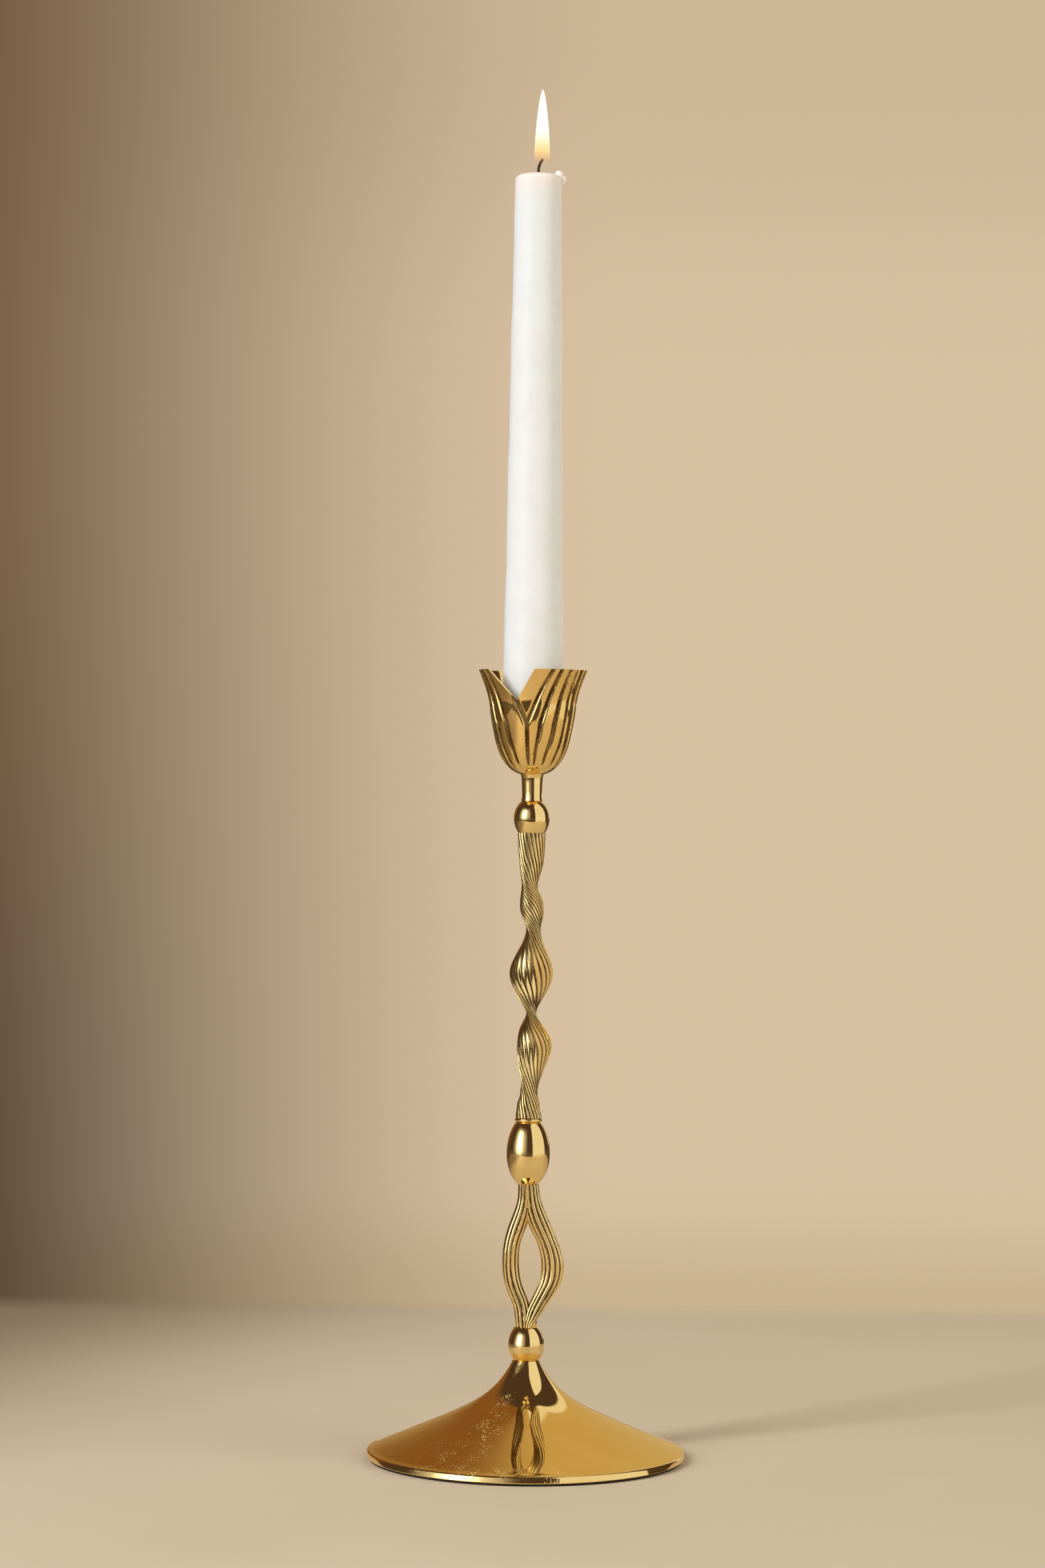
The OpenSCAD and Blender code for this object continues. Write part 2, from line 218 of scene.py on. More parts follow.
class Paint:
    """A node tree with one method that makes any node."""

    def __init__(self, tree):
        self.tree = tree
        tree.nodes.clear()

    def node(self, kind, settings=None, sockets=None):
        made = self.tree.nodes.new(kind)
        for key, value in (settings or {}).items():
            if key == "stops":
                ramp = made.color_ramp
                while len(ramp.elements) < len(value):
                    ramp.elements.new(0.5)
                for element, (place, colour) in zip(ramp.elements, value):
                    element.position = place
                    element.color = (*colour, 1)
            else:
                setattr(made, key, value)
        for key, value in (sockets or {}).items():
            if isinstance(value, Signal):
                self.tree.links.new(value.socket, made.inputs[key])
            else:
                made.inputs[key].default_value = value
        return made

    def signal(self, kind, settings=None, sockets=None, output=0):
        return Signal(self, self.node(kind, settings, sockets).outputs[output])

    def noise(self, place, scale, detail=2, roughness=0.5):
        return self.signal("ShaderNodeTexNoise", {},
                           {"Vector": place, "Scale": scale, "Detail": detail, "Roughness": roughness})

    def between(self, value, low, high, to_low=0, to_high=1):
        """value taken from low..high to to_low..to_high, eased and held at the ends."""
        return self.signal("ShaderNodeMapRange", {"interpolation_type": "SMOOTHSTEP"},
                           {"Value": value, "From Min": low, "From Max": high,
                            "To Min": to_low, "To Max": to_high})

    def blend(self, share, a, b):
        settings = {"data_type": "RGBA", "blend_type": "MIX"}
        made = self.node("ShaderNodeMix", settings)
        for key, value in {0: share, 6: a, 7: b}.items():
            if isinstance(value, Signal):
                self.tree.links.new(value.socket, made.inputs[key])
            else:
                made.inputs[key].default_value = (*value, 1) if key else value
        return Signal(self, made.outputs[2])

    def bump(self, height, strength, distance, normal=None):
        sockets = {"Height": height, "Strength": strength, "Distance": distance}
        if normal:
            sockets["Normal"] = normal
        return self.signal("ShaderNodeBump", {}, sockets)

    def split(self, place):
        made = self.node("ShaderNodeSeparateXYZ", {}, {0: place})
        return [Signal(self, o) for o in made.outputs]


def new_material(name):
    material = bpy.data.materials.new(name)
    material.use_nodes = True
    paint = Paint(material.node_tree)
    place = paint.signal("ShaderNodeTexCoord", output=3)
    return material, paint, place


def surface(paint, sockets, settings=None):
    shader = paint.node("ShaderNodeBsdfPrincipled", settings, sockets)
    paint.node("ShaderNodeOutputMaterial", {}, {"Surface": Signal(paint, shader.outputs[0])})


GOLD = (0.95, 0.73, 0.33)
DEEP_GOLD = (0.80, 0.52, 0.18)
GROOVE_BROWN = (0.09, 0.04, 0.013)
PETAL_GOLD = (0.92, 0.65, 0.24)
PETAL_BROWN = (0.075, 0.028, 0.008)


def polished_brass():
    material, paint, place = new_material("polished_brass")
    ripple = paint.noise(place, 110, 1)
    haze = paint.noise(place, 420, 3)
    specks = paint.noise(place, 1900, 1)
    colour = paint.blend(paint.between(haze, 0.35, 0.8), GOLD, (0.91, 0.67, 0.28))
    colour = paint.blend(paint.between(specks, 0.7, 0.76) * 0.5, colour, DEEP_GOLD)
    normal = paint.bump(ripple, 0.2, 0.4 * MM)
    surface(paint, {"Base Color": colour, "Metallic": 1,
                    "Roughness": paint.between(haze, 0.3, 0.8, 0.04, 0.09), "Normal": normal})
    return material


def cast_brass():
    """Mirror polish over a slightly wavy casting, with cast grain in slanting streaks on the side
    facing the key light, where the key light's glints are painted into the grain's colour.
    """
    material, paint, place = new_material("cast_brass")
    x, y, z = paint.split(place)
    azimuth = x.maths("ARCTAN2", x, y * -1) * (180 / math.pi)
    ripple = paint.noise(place, 170, 1)
    swell = paint.noise(place, 45, 1)
    broken = paint.between(paint.noise(place, 150, 3, 0.65), 0.47, 0.6)
    grain = paint.noise(place, 1900, 1)
    stipple = paint.noise(place, 2600, 2, 0.6)
    # The grain lies on the side facing the key light: the left half, streaks toward the key light and a
    # stretch of the rim at the left front.
    streak = paint.between(azimuth, -43, -33) * paint.between(azimuth, -12, -24)
    rim = (paint.between(z, FELT_TOP + 5 * MM, FELT_TOP + 3.5 * MM)
           * paint.between(azimuth, -50, -30) * paint.between(azimuth, 22, 6))
    left = paint.between(x, -4 * MM, -30 * MM, 0.02, 0.14)
    lit_side_grain = left.maths("MAXIMUM", left, left.maths("MAXIMUM", streak, rim)) * broken
    # Painted glints: grain specks there get a brighter, less metallic colour that stands in for the key
    # light's glints.
    painted_glint = lit_side_grain * paint.between(grain, 0.6, 0.66)
    colour = paint.blend(paint.between(swell, 0.3, 0.75), (0.95, 0.72, 0.31), (0.91, 0.67, 0.27))
    colour = paint.blend(painted_glint, colour, (1, 0.78, 0.3))
    normal = paint.bump(swell, 0.12, 0.8 * MM)
    normal = paint.bump(ripple, 0.06, 0.25 * MM, normal)
    normal = paint.bump(grain * lit_side_grain, 0.2, 0.2 * MM, normal)
    roughness = paint.between(stipple, 0.3, 0.7, 0.03, 0.05) + painted_glint * 0.4
    surface(paint, {"Base Color": colour, "Metallic": 1 - painted_glint * 0.75, "Roughness": roughness,
                    "Normal": normal})
    return material


def grooved_brass(name, crest_colour, groove_share, groove_colour):
    """Brass with bright crests and rough dark grooves, by the piece's groove attribute."""
    material, paint, place = new_material(name)
    depth = paint.signal("ShaderNodeAttribute", {"attribute_name": "groove"}, output=2)
    sand = paint.noise(place, 2600, 3, 0.7)
    specks = paint.noise(place, 3600, 1)
    ripple = paint.noise(place, 450, 2)
    wear = paint.noise(place, 90, 2)
    edge = depth + (ripple - 0.5) * 0.5
    groove = paint.between(edge, groove_share - 0.16, groove_share + 0.16)
    dark = groove * paint.between(wear, 0.25, 0.6, 0.7, 1)
    tone = paint.blend(paint.between(specks, 0.6, 0.7), groove_colour, (0.66, 0.46, 0.18))
    colour = paint.blend(dark, crest_colour, tone)
    normal = paint.bump(ripple, 0.1, 0.25 * MM)
    normal = paint.bump(sand * groove, 0.6, 0.25 * MM, normal)
    surface(paint, {"Base Color": colour, "Metallic": 1,
                    "Roughness": groove * 0.3 + 0.07, "Normal": normal})
    return material


def steel():
    material, paint, place = new_material("zinc_steel")
    brushed = paint.noise(
        paint.signal("ShaderNodeMapping", {}, {"Vector": place, "Scale": (1, 1, 30)}), 700, 3)
    colour = paint.blend(brushed, (0.52, 0.52, 0.5), (0.66, 0.65, 0.62))
    surface(paint, {"Base Color": colour, "Metallic": 1,
                    "Roughness": paint.between(brushed, 0.3, 0.7, 0.25, 0.4),
                    "Normal": paint.bump(brushed, 0.15, 0.05 * MM)})
    return material


def felt():
    material, paint, place = new_material("felt_with_painted_shade")
    fibres = paint.noise(place, 2200, 4, 0.75)
    # Near-black felt; its dark colour also paints the shade line under the base's rim.
    colour = paint.blend(fibres, (0.006, 0.005, 0.004), (0.03, 0.024, 0.018))
    surface(paint, {"Base Color": colour, "Roughness": 0.95,
                    "Normal": paint.bump(fibres, 0.7, 0.3 * MM)})
    return material


def wax():
    material, paint, place = new_material("candle_wax")
    z = paint.split(place)[2]
    mottled = paint.noise(place, 160, 3)
    streaks = paint.noise(
        paint.signal("ShaderNodeMapping", {}, {"Vector": place, "Scale": (1, 1, 0.04)}), 420, 2)
    # Painted flame light: the top 12 mm of wax is tinted warmer and redder, standing in for the flame's
    # light on it.
    painted_flame_glow = paint.between(z, WAX_TOP - 12 * MM, WAX_TOP)
    colour = paint.blend(paint.between(mottled, 0.3, 0.75), (0.65, 0.67, 0.68), (0.63, 0.645, 0.65))
    colour = paint.blend(painted_flame_glow * 0.5, colour, (0.78, 0.66, 0.60))
    normal = paint.bump(streaks, 0.10, 0.5 * MM)
    normal = paint.bump(mottled, 0.05, 0.3 * MM, normal)
    surface(paint, {"Base Color": colour, "Roughness": paint.between(streaks, 0.3, 0.7, 0.3, 0.42),
                    "Normal": normal, "Subsurface Weight": 0.35, "Subsurface Scale": 0.004,
                    "Subsurface Radius": (1.0, 0.75, 0.5), "Specular IOR Level": 0.3})
    return material


def charred_wick():
    material, paint, place = new_material("charred_wick")
    char = paint.noise(place, 2500, 3)
    colour = paint.blend(char, (0.012, 0.009, 0.007), (0.06, 0.04, 0.028))
    surface(paint, {"Base Color": colour, "Roughness": 0.85,
                    "Normal": paint.bump(char, 0.8, 0.15 * MM)})
    return material


def flame_light():
    material, paint, place = new_material("flame_light")
    z = paint.split(place)[2]
    up = paint.between(z, FLAME_FOOT, FLAME_FOOT + 8 * MM)
    colour = paint.blend(paint.between(z, FLAME_FOOT + 1 * MM, FLAME_FOOT + 7 * MM),
                         (0.34, 0.18, 0.09), (0.42, 0.30, 0.13))
    colour = paint.blend(paint.between(z, FLAME_FOOT + 5 * MM, FLAME_FOOT + 15 * MM),
                         colour, (0.5, 0.47, 0.40))
    edge = paint.signal("ShaderNodeLayerWeight", {}, {"Blend": 0.35}, 1)
    solid = up * (1 - edge ** 3)
    glow = paint.node("ShaderNodeEmission", {}, {"Color": colour, "Strength": 2.6})
    clear = paint.node("ShaderNodeBsdfTransparent")
    both = paint.node("ShaderNodeMixShader", {},
                      {0: solid, 1: Signal(paint, clear.outputs[0]), 2: Signal(paint, glow.outputs[0])})
    paint.node("ShaderNodeOutputMaterial", {}, {"Surface": Signal(paint, both.outputs[0])})
    return material


def table_top():
    """Pale table with painted shade that darkens it towards its far left, and a soft far edge."""
    material, paint, place = new_material("pale_table")
    x, y = paint.split(place)[:2]
    fine = paint.noise(place, 260, 3)
    cloud = paint.noise(place, 6, 2)
    colour = paint.blend(paint.between(cloud, 0.3, 0.7), (0.64, 0.555, 0.43), (0.615, 0.53, 0.405))
    # Painted shade: the table's colour darkens towards its far left, where the light falls off.
    painted_shade = paint.between(y * 0.6 - x * 1.2, 0.17, 0.56)
    colour = paint.blend(painted_shade * 0.75, colour, (0.10, 0.055, 0.028))
    far_edge = paint.between(y, TABLE_BACK, TABLE_BACK - 0.065)
    surface(paint, {"Base Color": colour, "Roughness": 0.6, "Alpha": far_edge,
                    "Normal": paint.bump(fine, 0.05, 0.2 * MM)})
    return material


# ---------------------------------------------------------------- levels from the frame

def span(node):
    low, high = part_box(node)
    return low[2], high[2]


def radius(node):
    low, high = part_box(node)
    return (high[1] - low[1]) / 2


FELT_TOP = span("base_felt")[1]
BASE_R = radius("base_shell")
BASE_TOP = span("base_shell")[1]
SOCKET_DEPTH = 13 * MM
SOCKET_FLOOR = 2.5 * MM
CANDLE_LENGTH = 208.75 * MM
WAX_TOP = span("candle_socket")[1] - SOCKET_DEPTH + SOCKET_FLOOR + CANDLE_LENGTH
FLAME_FOOT = WAX_TOP + 3.2 * MM
TOP_ROUND = 2.4 * MM
SCREW_HOLE = 2.65 * MM
STUD_HOLE = 2.15 * MM
LOOP_END = 3.9 * MM
CUP_FLOOR = 13.5 * MM
CUP_WALL = 1.6 * MM


# ---------------------------------------------------------------- base


def base_height(r, neck, edge, edge_z):
    """Height of the base's upper surface: a cone with a flare that dies away from the neck."""
    flare = 11 * MM
    fade = 6.6 * MM
    cone = BASE_TOP - edge_z - flare
    return edge_z + cone * (edge - r) / (edge - neck) + flare * math.exp(-(r - neck) / fade)


def make_base():
    neck = 4.9 * MM
    edge = BASE_R - 1.25 * MM
    edge_z = FELT_TOP + 2.6 * MM
    hollow = BASE_R - 4 * MM
    ceiling = BASE_TOP - 11 * MM
    wall = 2.6 * MM
    rounding = 1 * MM
    spread = 1.7
    steps = 44
    inner_steps = 20
    radii = [neck + (edge - neck) * (i / steps) ** spread for i in range(steps + 1)]
    outline = [(SCREW_HOLE, BASE_TOP), (neck - 0.35 * MM, BASE_TOP)]
    outline += [(r, base_height(r, neck, edge, edge_z) - (0.25 * MM if r == neck else 0))
                for r in radii]
    for a in (75, 60, 45, 30, 20, 10):
        a = math.radians(a)
        outline.append((edge + rounding * math.cos(a),
                        edge_z - rounding + rounding * math.sin(a)))
    outline += [(BASE_R, FELT_TOP + 0.3 * MM), (BASE_R - 0.3 * MM, FELT_TOP), (hollow, FELT_TOP)]
    for i in range(inner_steps, 0, -1):
        r = neck + (hollow - neck) * (i / inner_steps) ** spread
        outline.append((r, min(ceiling, base_height(r, neck, edge, edge_z) - wall)))
    outline.append((SCREW_HOLE, ceiling))
    piece = turned("base", outline, 192, True)
    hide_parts("base_shell")
    return piece


# ---------------------------------------------------------------- knops, collar and neck


def bead_outline(low, high, middle_share, low_r, mid_r, high_r, hole, lip=0.25 * MM, steps=36):
    """Two elliptic arcs that meet at the greatest radius, round a through hole."""
    height = high - low
    mid = height * middle_share
    reach_low = mid / math.sqrt(1 - (low_r / mid_r) ** 2)
    reach_high = (height - mid) / math.sqrt(1 - (high_r / mid_r) ** 2)
    outline = [(hole, low), (low_r - lip, low)]
    for i in range(steps + 1):
        z = mix(lip / 2, height - lip / 2, i / steps)
        reach = reach_low if z < mid else reach_high
        outline.append((mid_r * math.sqrt(1 - ((z - mid) / reach) ** 2), low + z))
    return outline + [(high_r - lip, high), (hole, high)]


def make_bead(name, node, middle_share, low_r, high_r, hole):
    low, high = span(node)
    outline = bead_outline(low, high, middle_share, low_r, radius(node), high_r, hole)
    piece = turned(name, outline, 128, True)
    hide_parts(node)
    return piece


def make_collar():
    low, high = span("egg_collar")
    half, r = (high - low) / 2, radius("egg_collar")
    outline = [(STUD_HOLE, low), (r - half, low)]
    for a in range(-80, 81, 16):
        a = math.radians(a)
        outline.append((r - half + half * math.cos(a), low + half + half * math.sin(a)))
    outline += [(r - half, high), (STUD_HOLE, high)]
    piece = turned("egg_collar_ring", outline, 128, True)
    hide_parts("egg_collar")
    return piece


def make_neck():
    low, high = span("neck_sleeve")
    low_r = 3.65 * MM
    high_r = radius("neck_sleeve")
    steps = 12
    outline = [(STUD_HOLE, low), (low_r + 0.45 * MM, low)]
    for i in range(steps + 1):
        t = i / steps
        fillet = 0.45 * math.exp(-t * 14) + 0.35 * math.exp(-(1 - t) * 14)
        outline.append((mix(low_r, high_r - 0.3 * MM, t) + fillet * MM,
                        mix(low, high, 0.01 + 0.98 * t)))
    outline += [(high_r, high), (STUD_HOLE, high)]
    piece = turned("neck", outline, 96, True)
    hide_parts("neck_sleeve")
    return piece


# ---------------------------------------------------------------- loop


STRAND_GROOVE = 0.42 * MM
STRAND_DEPTH = 5.8
CROSSING_DEPTH = 6.4
FOOT_FLATTENED = 0.93
CROWN_FLATTENED = 0.79

# Each strand from its foot up: share of the height, its middle to the right of the axis, width
LEFT_STRAND = [
    (0, -1.35, 5.1), (0.04, -1.5, 5.6), (0.09, -1.6, 6), (0.135, -1.75, 6.2), (0.19, -2.75, 6.5),
    (0.23, -3.85, 6.5), (0.32, -5.55, 6.3), (0.42, -6.2, 6.15), (0.51, -6.2, 6.2),
    (0.6, -5.55, 6.2), (0.7, -3.8, 7), (0.79, -2.2, 6.4), (0.88, -1.2, 5.1), (1, -1, 5.2)]
RIGHT_STRAND = [
    (0, 0.4, 3), (0.04, 1.4, 4.3), (0.09, 2.6, 6.2), (0.135, 3.7, 7), (0.19, 5.4, 7.6),
    (0.23, 6.65, 7.9), (0.32, 9.1, 8.3), (0.42, 9.75, 8.5), (0.51, 9.1, 8.2), (0.6, 7.45, 7.9),
    (0.7, 5, 8.7), (0.79, 3, 8.2), (0.88, 1.8, 6.4), (1, 1.2, 5.4)]


def smoothed(rows, column, t, reach=0.035):
    """Column of a table of stations at t, straight between its rows and then averaged."""
    pairs = [(row[0], row[column]) for row in rows]
    places = [min(1, max(0, t + reach * d)) for d in (-1, -0.5, 0, 0.5, 1)]
    return sum(eased(pairs, place, True) for place in places) / len(places)


def make_strand(name, node, stations, reeds, forward):
    low, high = span(node)
    rings = 90
    crossing = 0.3
    sections = []
    for i in range(rings + 1):
        t = i / rings
        crossed = 1 - step(t / crossing)
        centre = (smoothed(stations, 1, t) * MM, forward * crossed, mix(low, high, t))
        sections.append((centre, smoothed(stations, 2, t) * MM,
                         mix(STRAND_DEPTH, CROSSING_DEPTH, crossed) * MM, 0))
    piece = reeded(name, reeds, STRAND_GROOVE, sections, 12)
    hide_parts(node)
    return piece


def make_loop_ends():
    """The turned foot and crown, flattened in front so that the strands run over them."""
    low, high = span("loop_foot")
    foot = turned("loop_foot_cone", [
        (SCREW_HOLE, low + 6.5 * MM), (SCREW_HOLE, low), (LOOP_END, low), (LOOP_END, low + 2 * MM),
        (LOOP_END - 1 * MM, low + 6.6 * MM), (0.6 * MM, high - 0.2 * MM)], 96)
    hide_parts("loop_foot")
    low, high = span("loop_crown")
    crown = turned("loop_crown_cone", [
        (0.2 * MM, low + 1 * MM), (1 * MM, low + 2.4 * MM), (LOOP_END - 1.3 * MM, low + 6.9 * MM),
        (LOOP_END - 1.1 * MM, high), (STUD_HOLE, high), (STUD_HOLE, high - 6.5 * MM)], 96)
    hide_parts("loop_crown")
    ends = ((foot, FOOT_FLATTENED, SCREW_HOLE), (crown, CROWN_FLATTENED, STUD_HOLE))
    for piece, share, hole in ends:
        for v in piece.data.vertices:
            if v.co.y < 0 and math.hypot(v.co.x, v.co.y) > hole + 0.05 * MM:
                v.co.y *= share
    return foot, crown


# ---------------------------------------------------------------- twisted stem

TWIST_GROOVE = 0.5 * MM

# From its foot up: share of the height, width, depth, turn in degrees and sideways shift
TWIST = [
    (0, 10.9, 9.2, 305, 0), (0.04, 10.3, 8.3, 290, -0.2), (0.087, 9.8, 6.5, 268, 0),
    (0.15, 11.7, 5.1, 232, 0.8), (0.25, 13, 4.1, 180, 1.9), (0.365, 14.3, 3.8, 90, 0.6),
    (0.506, 16.3, 4.4, 0, 0.45), (0.67, 11.4, 5.5, -90, 1.1), (0.752, 8.8, 5.75, -180, 0.3),
    (0.81, 8.8, 6, -270, -0.5), (0.9, 9.9, 7.8, -325, 0.1), (1, 10.4, 9, -360, 0.1)]


def make_twist():
    low, high = span("twist_stem")
    rings = 190
    sections = []
    for i in range(rings + 1):
        t = i / rings
        width, depth, sway = (eased([(row[0], row[k]) for row in TWIST], t) * MM for k in (1, 2, 4))
        sections.append(((sway, 0, mix(low, high, t)), width, depth,
                         math.radians(smoothed(TWIST, 3, t, 0.03))))
    piece = reeded("twisted_stem", 20, TWIST_GROOVE, sections)
    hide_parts("twist_stem")
    return piece


# ---------------------------------------------------------------- cup

NOTCH_TURN = -27.5
SEAMS = (-9, 171)  # where the petals part, in degrees to the right of the front
PETAL = 180
VEIN_LEVEL = 0.48
VEIN_CENTRE = 71.5
VEIN_LEAN = 12
VEINS = (0, 19, 41, 61.5, 80, 96.5, 112.5, 129, 148.5, 180)


def bezier(a, b, c, d, steps):
    rows = []
    for i in range(steps):
        t = i / steps
        u = 1 - t
        weights = (u ** 3, 3 * u * u * t, 3 * u * t * t, t ** 3)
        rows.append(tuple(sum(w * p[k] for w, p in zip(weights, (a, b, c, d))) for k in (0, 1)))
    return rows


def cup_outline(low, high, rim):
    """The outside of the cup from its foot to its rim, as (radius, height) points."""
    height = high - low
    floor = CUP_FLOOR
    neck = 4.3 * MM
    bowl = rim - 6.2 * MM
    belly = rim - 4.15 * MM
    belly_z = floor + (height - floor) * 0.47
    rows = bezier((neck, 0), (mix(neck, bowl, 0.5), floor * 0.08),
                  (mix(neck, bowl, 0.86), floor * 0.48), (bowl, floor), 20)
    rows += bezier((bowl, floor), (mix(bowl, belly, 0.4), mix(floor, belly_z, 0.33)),
                   (mix(bowl, belly, 0.78), mix(floor, belly_z, 0.62)), (belly, belly_z), 16)
    rows += bezier((belly, belly_z), (mix(belly, rim, 0.11), mix(belly_z, height, 0.33)),
                   (mix(belly, rim, 0.5), mix(belly_z, height, 0.63)), (rim, height), 22)
    return [(r, low + z) for r, z in rows] + [(rim, high)]


def vein_depth(co, low, high):
    """How deep the veins between the ribs are at a point of the cup, 0 to 1. The veins are spread
    over a petal at mid height, draw together as they rise and lean over towards the foot."""
    azimuth = math.degrees(math.atan2(co.x, -co.y))
    t = (co.z - low) / (high - low)
    above = max(0, (t - VEIN_LEVEL) / (1 - VEIN_LEVEL))
    below = step((VEIN_LEVEL - t) / 0.4)
    depth = 0
    for seam in SEAMS:
        e = (azimuth - seam + 90) % 360 - 90
        if e > PETAL + 20:
            continue
        inwards = max(0, min(e, PETAL - e))
        e += VEIN_LEAN * (1 - math.exp(-inwards / 15)) * math.cos(math.radians(e)) * below
        gather = 0.43 if e < VEIN_CENTRE else 0.29
        e = VEIN_CENTRE + (e - VEIN_CENTRE) / (1 - gather * above)
        if -6 < e < PETAL + 6:
            away = min(abs(e - vein) for vein in VEINS)
            depth = max(depth, 1 - step((away - 1.2) / 3.6))
    return depth * step((t - 0.03) / 0.12)


def make_cup():
    low, high = span("tulip_cup")
    groove = 0.85 * MM
    full_r = 12 * MM
    outside = cup_outline(low, high, radius("tulip_cup"))
    wall = [(r, z) for r, z in outside if z > low + CUP_FLOOR]
    inside = [(r - CUP_WALL, z) for r, z in reversed(wall)]
    outline = [(STUD_HOLE, low)] + outside + inside + [
        (inside[-1][0] - 0.1 * MM, low + CUP_FLOOR), (STUD_HOLE, low + CUP_FLOOR)]
    piece = turned("tulip_cup_petals", outline, 320, True)
    cut_notches(piece, high)
    outer = {round(z, 6): r for r, z in outside}
    levels = sorted(outer)
    depths = piece.data.attributes.new("groove", "FLOAT", "POINT")
    for v, d in zip(piece.data.vertices, depths.data):
        r = math.hypot(v.co.x, v.co.y)
        over = next((z for z in levels if z >= v.co.z - 1e-6), levels[-1])
        under = max((z for z in levels if z <= v.co.z + 1e-6), default=levels[0])
        share = 0 if over <= under else (v.co.z - under) / (over - under)
        if r > mix(outer[under], outer[over], share) - 0.3 * CUP_WALL:
            d.value = vein_depth(v.co, low, high)
            pull = 1 - d.value * groove * min(1, r / full_r) / r
            v.co.x *= pull
            v.co.y *= pull
    finish_mesh(40)
    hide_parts("tulip_cup")
    return piece


def cut_notches(piece, high):
    """Cuts the two notches with wedges that point down."""
    width = 19.7 * MM
    depth = 11.75 * MM
    skew = 1.6 * MM
    reach = 40 * MM
    over = 1 * MM
    widening = 0.76 * MM
    blunt = 0.05 * MM
    for side in (0, 180):
        deselect()
        bpy.ops.mesh.primitive_cube_add(size=1, location=(0, -reach / 2, high))
        wedge = bpy.context.object
        bpy.ops.object.transform_apply(location=True)
        for v in wedge.data.vertices:
            outer = -reach if v.co.y < -reach / 2 else 0
            if v.co.z > high:
                v.co = (math.copysign(width / 2, v.co.x), outer, high)
                v.co.x += math.copysign(widening, v.co.x)
                v.co.z += over
            else:
                v.co = (skew + math.copysign(blunt, v.co.x), outer, high - depth)
        bpy.ops.object.mode_set(mode="EDIT")
        bpy.ops.mesh.select_all(action="SELECT")
        turn(math.radians(NOTCH_TURN + side), (0, 0, high))
        bpy.ops.object.mode_set(mode="OBJECT")
        deselect()
        piece.select_set(True)
        bpy.context.view_layer.objects.active = piece
        apply_modifier(piece, "BOOLEAN", operation="DIFFERENCE", object=wedge, solver="EXACT")
        bpy.data.objects.remove(wedge, do_unlink=True)


def make_socket():
    low, high = span("candle_socket")
    r = radius("candle_socket")
    bore = 11.6 * MM
    floor = SOCKET_FLOOR
    outline = [(STUD_HOLE, low), (r - 0.3 * MM, low), (r, low + 0.3 * MM), (r, high - 0.3 * MM),
               (r - 0.3 * MM, high), (bore + 0.3 * MM, high), (bore, high - 0.3 * MM),
               (bore, low + floor + 0.4 * MM), (bore - 0.4 * MM, low + floor),
               (STUD_HOLE + 2 * MM, low + floor), (STUD_HOLE, low + 0.5 * MM)]
    piece = turned("candle_socket_lining", outline, 128, True)
    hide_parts("candle_socket")
    return piece


# ---------------------------------------------------------------- candle


def make_candle():
    low = span("candle_wax")[0]
    foot_r = 11.35 * MM
    top_r = 8.75 * MM
    straight = 23 * MM
    steps = 60
    outline = [(foot_r - 1 * MM, low), (foot_r - 0.3 * MM, low + 0.3 * MM), (foot_r, low + 1 * MM),
               (foot_r, low + straight)]
    for i in range(1, steps):
        t = i / steps
        sag = 0.09 * math.sin(t * 21) + 0.06 * math.sin(t * 47 + 1)
        outline.append((mix(foot_r, top_r, t) + sag * MM * step(t * 6) * step((1 - t) * 6),
                        mix(low + straight, WAX_TOP - TOP_ROUND, t)))
    for a in range(0, 91, 10):
        a = math.radians(a)
        outline.append((top_r - TOP_ROUND * (1 - math.cos(a)),
                        WAX_TOP - TOP_ROUND * (1 - math.sin(a))))
    outline += [(6.1 * MM, WAX_TOP - 0.1 * MM), (5.3 * MM, WAX_TOP - 0.5 * MM),
                (3.5 * MM, WAX_TOP - 0.95 * MM), (1.2 * MM, WAX_TOP - 0.9 * MM),
                (0.7 * MM, WAX_TOP - 0.6 * MM)]
    piece = turned("taper_candle", outline, 128)
    add_drips(piece, top_r)
    finish_mesh(50)
    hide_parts("candle_wax")
    return piece


def add_drips(piece, top_r):
    """Set wax at the right of the rim: one lump, one bead beside it and a run below."""
    lumps = [((top_r - 1 * MM, 0, WAX_TOP - 0.8 * MM), (1.9, 2.2, 2.6)),
             ((top_r + 0.7 * MM, 0.1 * MM, WAX_TOP - 1.6 * MM), (1.25, 1.5, 1.5)),
             ((top_r + 0.1 * MM, 0, WAX_TOP - 2 * MM), (1.3, 1.8, 2.2)),
             ((top_r - 0.8 * MM, -0.5 * MM, WAX_TOP - 3.8 * MM), (1.05, 1.7, 3)),
             ((top_r - 0.55 * MM, -2.2 * MM, WAX_TOP - 12.5 * MM), (0.5, 0.8, 1.9))]
    for centre, size in lumps:
        deselect()
        bpy.ops.mesh.primitive_uv_sphere_add(segments=32, ring_count=20, radius=1 * MM, location=centre)
        lump = bpy.context.object
        bpy.ops.object.transform_apply(location=True)
        bpy.ops.object.mode_set(mode="EDIT")
        bpy.ops.mesh.select_all(action="SELECT")
        bpy.ops.transform.resize(value=size, center_override=centre)
        bpy.ops.object.mode_set(mode="OBJECT")
        deselect()
        piece.select_set(True)
        bpy.context.view_layer.objects.active = piece
        apply_modifier(piece, "BOOLEAN", operation="UNION", object=lump, solver="EXACT")
        bpy.data.objects.remove(lump, do_unlink=True)


